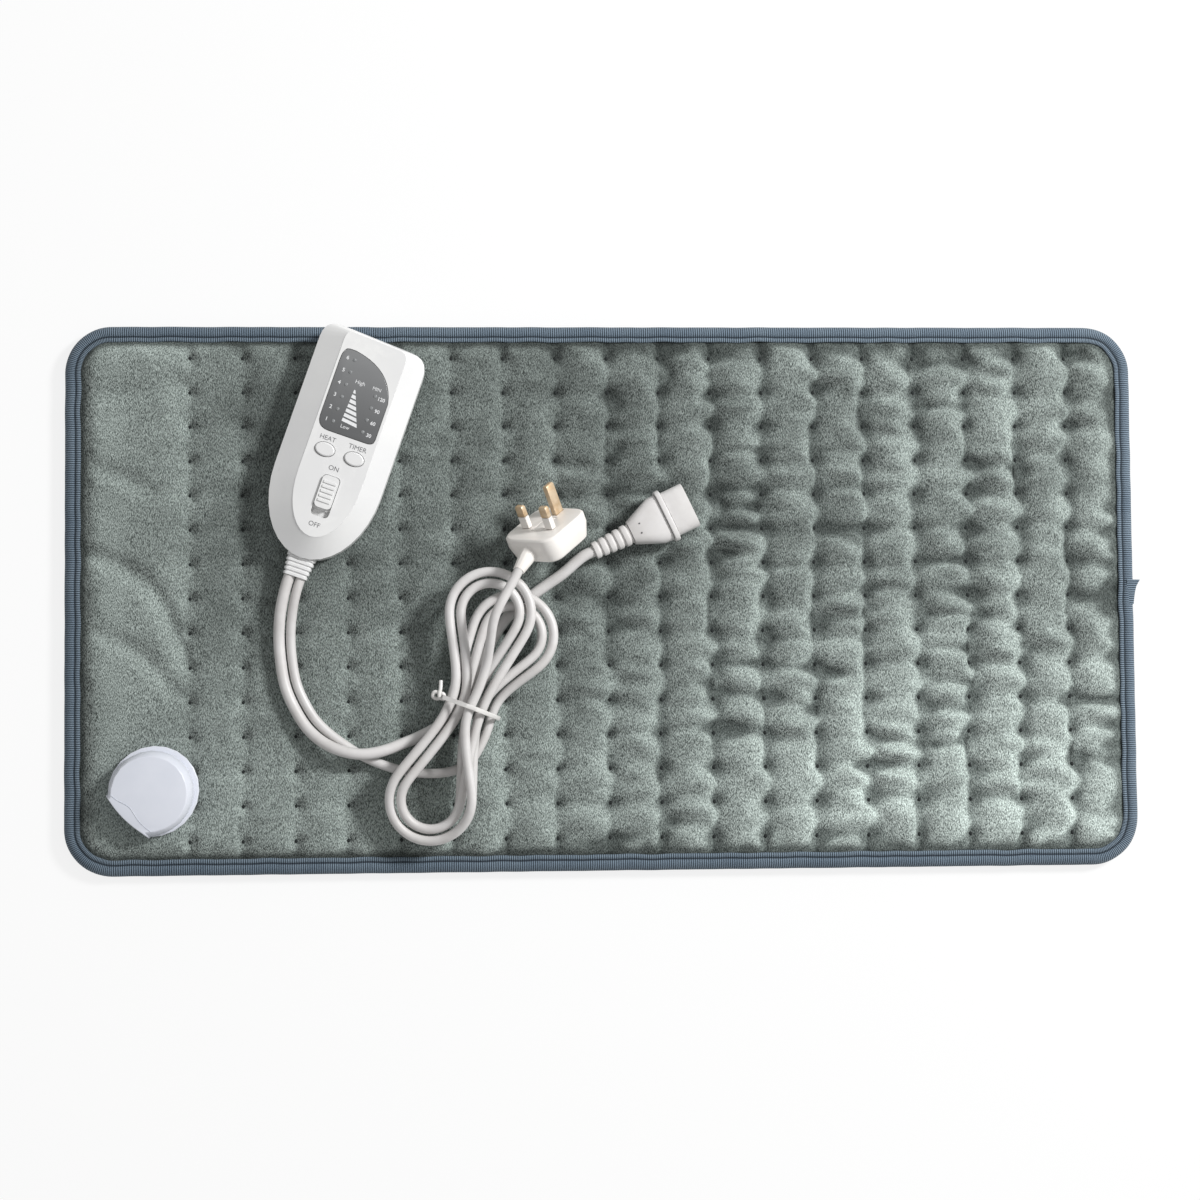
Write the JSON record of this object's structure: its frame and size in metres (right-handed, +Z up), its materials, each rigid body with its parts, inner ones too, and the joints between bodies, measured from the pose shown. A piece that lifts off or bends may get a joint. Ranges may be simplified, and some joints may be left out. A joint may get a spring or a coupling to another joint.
{
  "type": "heating pad with controller",
  "caption": "Quilted fleece heating pad with edge tape, a corner socket, a wired handset with buttons and a slider, a hanked mains lead with plug and a pad lead with connector.",
  "frame": {"origin": "middle of the pad's underside", "axes": "+X along the pad's length, away from the socket end; +Y across it; +Z up out of the quilted top"},
  "size_m": [0.59, 0.3, 0.0564],
  "materials": {
    "fleece": "short grey-green pile",
    "under_cloth": "plain woven cloth",
    "tape": "ribbed blue-grey tape",
    "felt": "thin felt",
    "wire": "insulated wire",
    "white_plastic": "fine satin",
    "socket_plastic": "satin",
    "window": "glossy grey",
    "lamp": "clear lamp",
    "board": "green board",
    "black_plastic": "black",
    "steel": "plated",
    "brass": "pale brass",
    "cord_rubber": "smooth white",
    "plug_plastic": "warm white"
  },
  "bodies": {
    "pad_and_handset": {"quilted_top": "fleece", "bottom_cover": "under_cloth", "edge_binding": "tape", "element_felt": "felt", "heating_wire": "wire", "lower_case": "white_plastic", "upper_case": "white_plastic", "cord_gland": "white_plastic", "socket_base": "socket_plastic", "socket_cap": "socket_plastic", "display_lens": "window", "heat_led_1": "lamp", "heat_led_2": "lamp", "heat_led_3": "lamp", "heat_led_4": "lamp", "heat_led_5": "lamp", "heat_led_6": "lamp", "timer_led_1": "lamp", "timer_led_2": "lamp", "timer_led_3": "lamp", "timer_led_4": "lamp", "circuit_board": "board", "thermal_cutout": "black_plastic", "heat_switch": "black_plastic", "timer_switch": "black_plastic", "slide_switch": "black_plastic", "control_chip": "black_plastic", "capacitor": "black_plastic", "triac": "black_plastic", "case_screw_1": "steel", "case_screw_2": "steel", "case_screw_3": "steel", "case_screw_4": "steel", "socket_pin_1": "brass", "socket_pin_2": "brass", "live_pin": "brass", "neutral_pin": "brass", "earth_pin": "brass", "pad_lead": "cord_rubber", "mains_lead_run": "cord_rubber", "mains_lead_hank": "cord_rubber", "mains_lead_tail": "cord_rubber", "hank_tie": "cord_rubber", "connector_boot": "cord_rubber", "connector_body": "cord_rubber", "connector_collar": "cord_rubber", "plug_body": "plug_plastic", "fuse_carrier": "plug_plastic", "live_sleeve": "plug_plastic", "neutral_sleeve": "plug_plastic"},
    "heat_button": {"heat_button": "white_plastic"},
    "timer_button": {"timer_button": "white_plastic"},
    "power_slider": {"power_slider": "white_plastic"}
  },
  "joints": [
    {"name": "heat_press", "type": "slide", "parent": "pad_and_handset", "child": "heat_button", "axis": [0, 0, -1], "range_m": [0, 0.0012], "stiffness_N_per_m": 800},
    {"name": "timer_press", "type": "slide", "parent": "pad_and_handset", "child": "timer_button", "axis": [0, 0, -1], "range_m": [0, 0.0012], "stiffness_N_per_m": 800},
    {"name": "power_slide", "type": "slide", "parent": "pad_and_handset", "child": "power_slider", "axis": [-0.3322, -0.9432, 0], "range_m": [0, 0.0045]}
  ]
}
